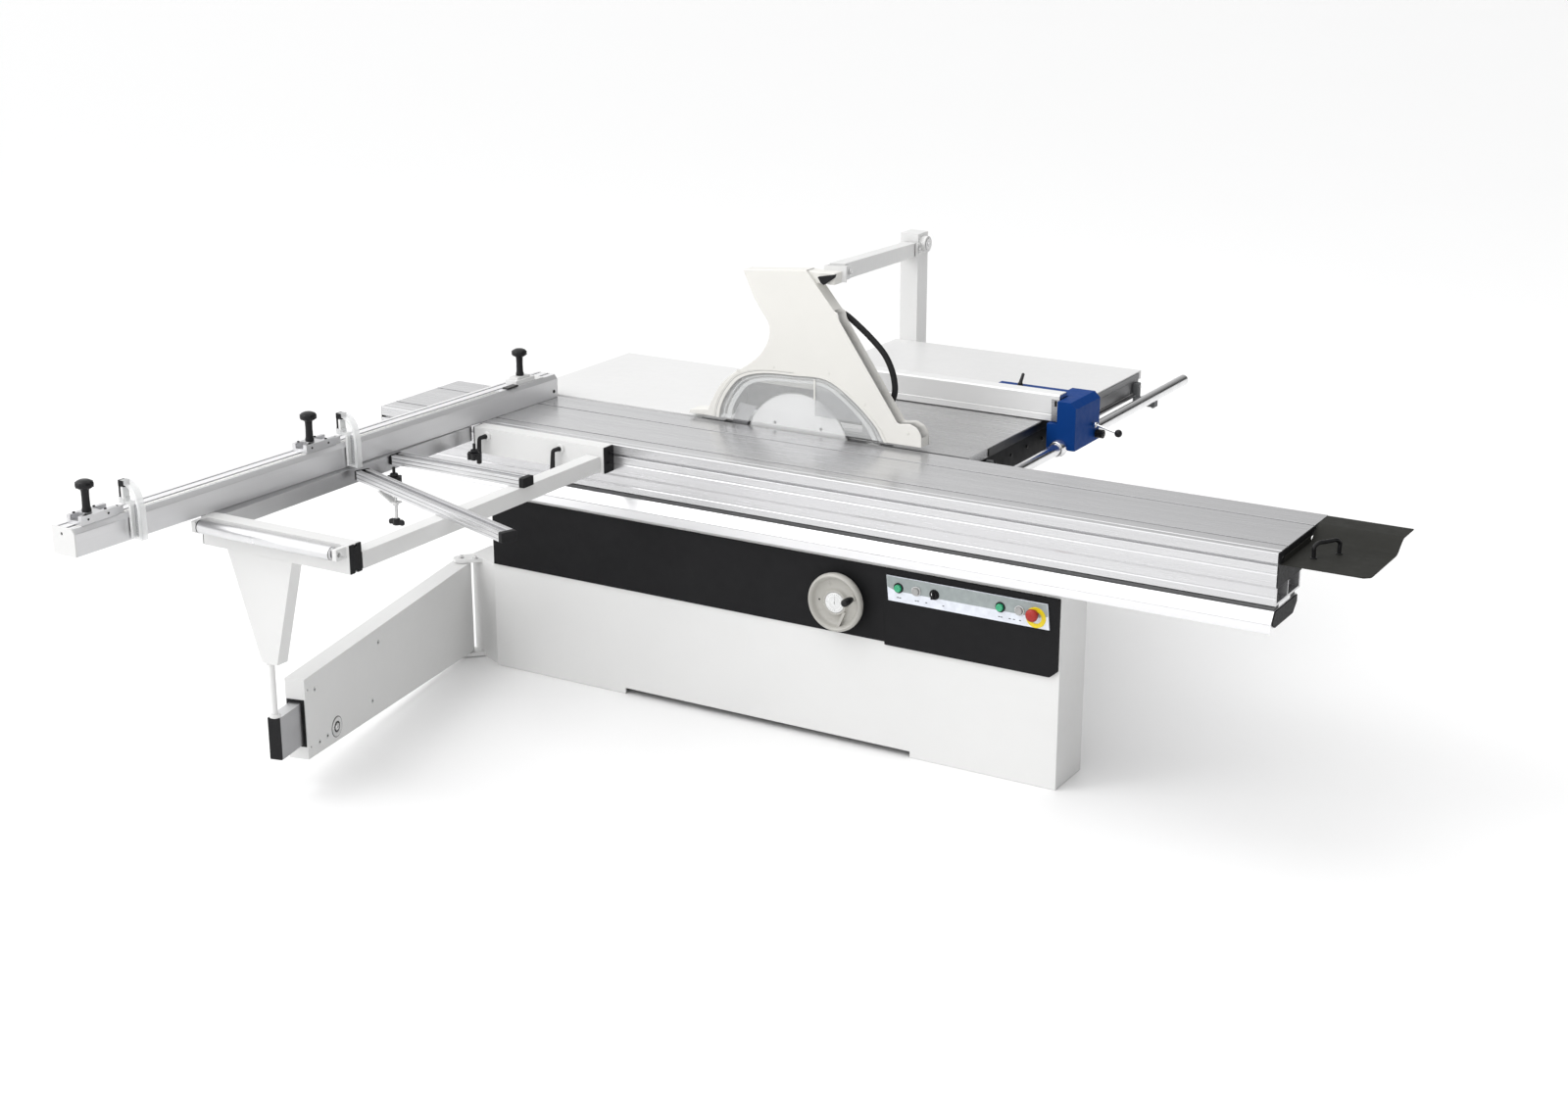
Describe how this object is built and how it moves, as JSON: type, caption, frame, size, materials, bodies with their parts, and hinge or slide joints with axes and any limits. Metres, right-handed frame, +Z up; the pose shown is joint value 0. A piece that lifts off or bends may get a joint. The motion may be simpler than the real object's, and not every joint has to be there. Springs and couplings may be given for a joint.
{
  "type": "panel saw",
  "caption": "Sliding table panel saw with tilting main and scoring blades, outrigger with cross-cut fence, rip fence on a round bar and an overhead blade guard.",
  "frame": {"origin": "on the floor straight below the saw arbor, in the plane of the upright main blade", "axes": "+X along the sliding table towards its push plate, +Y from the operator towards the back, +Z up"},
  "size_m": [3.451, 3.7809, 1.4278],
  "materials": {
    "white_paint": "satin, light texture",
    "table_paint": "satin",
    "cream_paint": "satin",
    "black_paint": "satin",
    "blue_paint": "gloss",
    "control_laminate": "satin",
    "green_plastic": "gloss",
    "grey_plastic": "satin",
    "black_plastic": "satin",
    "red_plastic": "gloss",
    "wheel_alloy": "satin",
    "bright_aluminium": "bright drawn",
    "anodised_aluminium": "brushed anodised",
    "dark_steel": "satin",
    "ground_steel": "ground",
    "hard_chrome": "polished",
    "clear_plastic": "clear",
    "black_rubber": "matt",
    "cast_iron": "painted casting",
    "blade_steel": "ground"
  },
  "bodies": {
    "base": {"rear_cabinet": "white_paint", "front_cabinet": "white_paint", "swing_hinge_post": "white_paint", "fascia_panel": "black_paint", "control_cover": "black_paint", "control_strip": "control_laminate", "slide_beam": "bright_aluminium", "steel_table": "ground_steel", "left_extension_table": "table_paint", "rip_extension_table": "table_paint", "rip_bar": "hard_chrome", "guard_mast": "white_paint"},
    "carriage": {"sliding_table": "anodised_aluminium", "push_plate": "dark_steel"},
    "outrigger": {"outrigger_rear_profile": "white_paint", "outrigger_right_beam": "white_paint", "outrigger_left_beam": "anodised_aluminium", "outrigger_front_profile": "white_paint", "support_bracket": "white_paint", "short_rail": "anodised_aluminium", "diagonal_rail": "anodised_aluminium"},
    "roller": {"outrigger_roller": "hard_chrome"},
    "lever_left": {"clamp_lever_left": "black_plastic"},
    "lever_right": {"clamp_lever_right": "black_plastic"},
    "fence": {"crosscut_fence": "bright_aluminium"},
    "stop_a": {"stop_block_a": "bright_aluminium"},
    "stop_b": {"stop_block_b": "bright_aluminium"},
    "flip_a": {"flip_stop_a": "clear_plastic"},
    "flip_b": {"flip_stop_b": "clear_plastic"},
    "knob_a": {"clamp_knob_a": "black_plastic"},
    "knob_b": {"clamp_knob_b": "black_plastic"},
    "knob_c": {"clamp_knob_c": "black_plastic"},
    "swing": {"swing_arm": "white_paint"},
    "telescope": {"telescopic_arm": "anodised_aluminium"},
    "rip_carrier": {"rip_head": "blue_paint"},
    "rip_rail": {"rip_fence": "table_paint"},
    "rip_lever": {"rip_lock_lever": "black_plastic"},
    "rip_knob": {"rip_adjust_knob": "black_plastic"},
    "rip_clamp": {"rip_clamp_lever": "black_plastic"},
    "wing_knob": {"rail_wing_knob": "black_plastic"},
    "guard_arm": {"overhead_arm": "white_paint"},
    "guard": {"guard_hood": "cream_paint", "guard_window": "clear_plastic", "guard_hose": "black_rubber"},
    "trunnion": {"tilt_trunnion": "cast_iron"},
    "lift": {"lift_carriage": "cast_iron", "motor": "blue_paint", "riving_knife": "blade_steel", "drive_belt": "black_rubber"},
    "blade": {"main_blade": "blade_steel"},
    "motor_rotor": {"motor_pulley": "cast_iron"},
    "scorer": {"scoring_blade": "blade_steel"},
    "tilt_wheel": {"handwheel": "wheel_alloy"},
    "wheel_grip": {"handwheel_grip": "black_plastic"},
    "start": {"start_button": "green_plastic"},
    "stop": {"stop_button": "grey_plastic"},
    "raise": {"raise_button": "green_plastic"},
    "lower": {"lower_button": "grey_plastic"},
    "selector": {"mode_selector": "black_plastic"},
    "estop": {"emergency_stop": "red_plastic"}
  },
  "joints": [
    {"name": "table_slide", "type": "slide", "parent": "base", "child": "carriage", "axis": [1, 0, 0], "range_m": [-1.55, 1.25]},
    {"name": "outrigger_slide", "type": "slide", "parent": "carriage", "child": "outrigger", "axis": [1, 0, 0], "range_m": [-0.35, 0.9]},
    {"name": "roller_spin", "type": "hinge", "parent": "outrigger", "child": "roller", "pos_m": [-0.731, -1.741, 0.8495], "axis": [1, 0, 0], "continuous": true},
    {"name": "left_lever_turn", "type": "hinge", "parent": "outrigger", "child": "lever_left", "pos_m": [-0.91, -0.515, 0.842], "axis": [0, 1, 0], "range_deg": [-60, 30]},
    {"name": "right_lever_turn", "type": "hinge", "parent": "outrigger", "child": "lever_right", "pos_m": [-0.611, -0.515, 0.842], "axis": [0, 1, 0], "range_deg": [-60, 30]},
    {"name": "fence_swivel", "type": "hinge", "parent": "outrigger", "child": "fence", "pos_m": [-0.98998, -0.18969, 0.87], "axis": [0, 0, 1], "range_deg": [-30, 45]},
    {"name": "stop_a_slide", "type": "slide", "parent": "fence", "child": "stop_a", "axis": [0.0323, 0.9995, 0], "range_m": [-0.03, 0.65]},
    {"name": "stop_b_slide", "type": "slide", "parent": "fence", "child": "stop_b", "axis": [0.0323, 0.9995, 0], "range_m": [-0.65, 0.75]},
    {"name": "flip_a_hinge", "type": "hinge", "parent": "stop_a", "child": "flip_a", "pos_m": [-1.02962, -1.97434, 0.9883], "axis": [0.0323, 0.9995, 0], "range_deg": [-100, 0]},
    {"name": "flip_b_hinge", "type": "hinge", "parent": "stop_b", "child": "flip_b", "pos_m": [-1.00114, -1.0928, 0.9883], "axis": [0.0323, 0.9995, 0], "range_deg": [-100, 0]},
    {"name": "knob_a_turn", "type": "hinge", "parent": "stop_a", "child": "knob_a", "pos_m": [-1.05155, -2.0957, 0.99], "axis": [0, 0, 1], "continuous": true},
    {"name": "knob_b_turn", "type": "hinge", "parent": "stop_b", "child": "knob_b", "pos_m": [-1.02307, -1.21416, 0.99], "axis": [0, 0, 1], "continuous": true},
    {"name": "knob_c_turn", "type": "hinge", "parent": "fence", "child": "knob_c", "pos_m": [-0.98998, -0.18969, 0.99], "axis": [0, 0, 1], "continuous": true},
    {"name": "swing_arm_hinge", "type": "hinge", "parent": "base", "child": "swing", "pos_m": [-1.108, -0.403, 0.2], "axis": [0, 0, 1], "range_deg": [-60, 38]},
    {"name": "telescope_slide", "type": "slide", "parent": "swing", "child": "telescope", "axis": [0.2317, -0.9728, 0], "range_m": [-0.1, 0.35]},
    {"name": "rip_head_slide", "type": "slide", "parent": "base", "child": "rip_carrier", "axis": [0, 1, 0], "range_m": [-0.4, 0.66]},
    {"name": "rip_fence_slide", "type": "slide", "parent": "rip_carrier", "child": "rip_rail", "axis": [1, 0, 0], "range_m": [-0.25, 0]},
    {"name": "rip_lever_turn", "type": "hinge", "parent": "rip_carrier", "child": "rip_lever", "pos_m": [0.7755, 0.647, 0.849], "axis": [0, 1, 0], "range_deg": [-50, 0]},
    {"name": "rip_clamp_turn", "type": "hinge", "parent": "rip_carrier", "child": "rip_clamp", "pos_m": [0.491, 0.655, 0.95], "axis": [0, 0, 1], "range_deg": [-60, 60]},
    {"name": "wing_knob_turn", "type": "hinge", "parent": "outrigger", "child": "wing_knob", "pos_m": [-0.74, -1.16, 0.8], "axis": [0, 0, 1], "continuous": true},
    {"name": "rip_knob_turn", "type": "hinge", "parent": "rip_carrier", "child": "rip_knob", "pos_m": [0.78, 0.676, 0.812], "axis": [1, 0, 0], "continuous": true},
    {"name": "guard_arm_lift", "type": "hinge", "parent": "base", "child": "guard_arm", "pos_m": [-0.30295, 1.33556, 1.22729], "axis": [-0.9515, -0.3076, 0], "range_deg": [0, 15]},
    {"name": "guard_level", "type": "hinge", "parent": "guard_arm", "child": "guard", "pos_m": [0.10634, 0.06932, 1.40045], "axis": [-0.9515, -0.3076, 0], "range_deg": [-15, 0]},
    {"name": "blade_tilt", "type": "hinge", "parent": "base", "child": "trunnion", "pos_m": [0, 0, 0.87], "axis": [-1, 0, 0], "range_deg": [0, 45]},
    {"name": "blade_lift", "type": "slide", "parent": "trunnion", "child": "lift", "axis": [0, 0, 1], "range_m": [-0.13, 0]},
    {"name": "blade_spin", "type": "hinge", "parent": "lift", "child": "blade", "pos_m": [0, 0, 0.8], "axis": [0, 1, 0], "continuous": true},
    {"name": "motor_spin", "type": "hinge", "parent": "lift", "child": "motor_rotor", "pos_m": [0, 0, 0.6], "axis": [0, 1, 0], "continuous": true},
    {"name": "scorer_spin", "type": "hinge", "parent": "trunnion", "child": "scorer", "pos_m": [0.285, 0, 0.813], "axis": [0, 1, 0], "continuous": true},
    {"name": "handwheel_turn", "type": "hinge", "parent": "base", "child": "tilt_wheel", "pos_m": [0.409, -0.44, 0.485], "axis": [0, 1, 0], "range_deg": [0, 2160]},
    {"name": "grip_spin", "type": "hinge", "parent": "tilt_wheel", "child": "wheel_grip", "pos_m": [0.475, -0.5, 0.511], "axis": [0, 1, 0], "continuous": true},
    {"name": "start_press", "type": "slide", "parent": "base", "child": "start", "axis": [0, 1, 0], "range_m": [0, 0.0035], "stiffness_N_per_m": 400},
    {"name": "stop_press", "type": "slide", "parent": "base", "child": "stop", "axis": [0, 1, 0], "range_m": [0, 0.0035], "stiffness_N_per_m": 400},
    {"name": "raise_press", "type": "slide", "parent": "base", "child": "raise", "axis": [0, 1, 0], "range_m": [0, 0.0035], "stiffness_N_per_m": 400},
    {"name": "lower_press", "type": "slide", "parent": "base", "child": "lower", "axis": [0, 1, 0], "range_m": [0, 0.0035], "stiffness_N_per_m": 400},
    {"name": "selector_turn", "type": "hinge", "parent": "base", "child": "selector", "pos_m": [0.736, -0.44, 0.558], "axis": [0, 1, 0], "range_deg": [-45, 45]},
    {"name": "estop_press", "type": "slide", "parent": "base", "child": "estop", "axis": [0, 1, 0], "range_m": [0, 0.0035], "stiffness_N_per_m": 600}
  ],
  "couplings": [
    {"joint": "guard_level", "follows": "guard_arm_lift", "ratio": -1},
    {"joint": "motor_spin", "follows": "blade_spin", "ratio": 0.71111},
    {"joint": "handwheel_turn", "follows": "blade_tilt", "ratio": 48}
  ]
}
